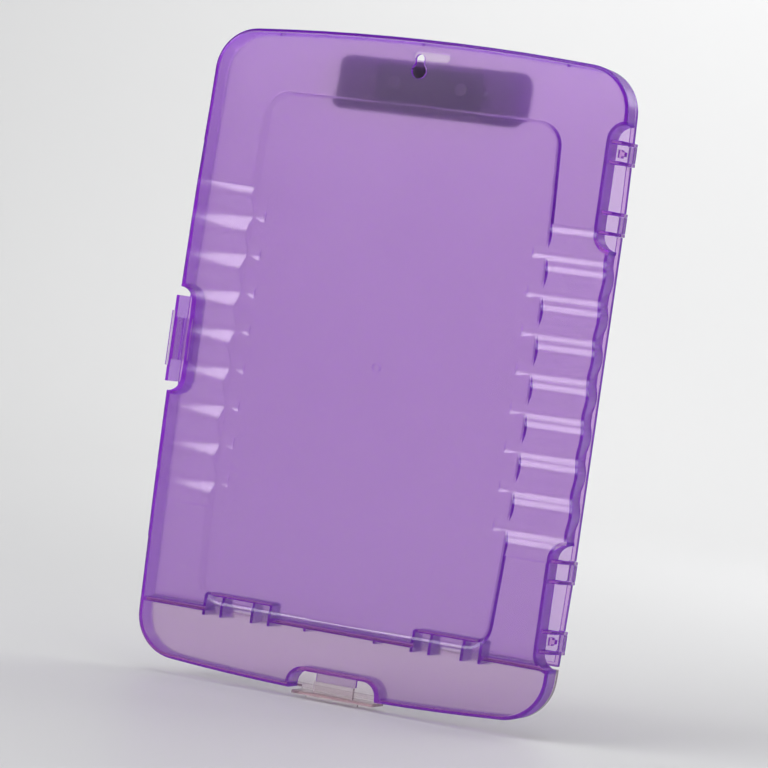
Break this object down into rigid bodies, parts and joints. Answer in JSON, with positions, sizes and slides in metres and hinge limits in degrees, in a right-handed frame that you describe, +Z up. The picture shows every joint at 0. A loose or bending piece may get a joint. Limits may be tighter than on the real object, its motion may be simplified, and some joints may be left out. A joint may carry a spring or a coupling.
{
  "type": "storage clipboard",
  "caption": "Slim translucent storage case that doubles as a clipboard: hinged lid with a low paper clip, pen compartment with its own door, finger grips and a hanging keyhole.",
  "frame": {"origin": "centre of the hanging keyhole on the outside of the back wall", "axes": "+Z up along the height as it hangs, +Y from the back towards the lid and clip, +X to the right seen from the back (hinge side)"},
  "size_m": [0.2552, 0.0294, 0.3703],
  "materials": {
    "purple_clear": "translucent tinted polypropylene, satin",
    "clear": "clear polished plastic",
    "dark_steel": "dark satin paint",
    "pin_steel": "plain steel",
    "spring_steel": "spring wire",
    "pad_rubber": "matt rubber"
  },
  "bodies": {
    "tray": {"base_tray": "purple_clear"},
    "lid": {"main_lid": "purple_clear", "clip_base": "dark_steel", "clip_pivot_pin": "pin_steel", "clip_rivets": "pin_steel", "clip_spring": "spring_steel"},
    "pen_door": {"pen_door": "clear"},
    "clip_jaw": {"clip_jaw": "dark_steel", "clip_grip_pads": "pad_rubber"}
  },
  "joints": [
    {"name": "lid_hinge", "type": "hinge", "parent": "tray", "child": "lid", "pos_m": [0.1235, 0.01765, -0.1653], "axis": [0, 0, -1], "range_deg": [0, 170]},
    {"name": "pen_door_hinge", "type": "hinge", "parent": "tray", "child": "pen_door", "pos_m": [0, 0.01765, -0.3148], "axis": [1, 0, 0], "range_deg": [0, 90]},
    {"name": "clip_hinge", "type": "hinge", "parent": "lid", "child": "clip_jaw", "pos_m": [0, 0.025, -0.0068], "axis": [1, 0, 0], "range_deg": [0, 18], "stiffness_Nm_per_rad": 0.35, "springref_deg": -17.19}
  ]
}
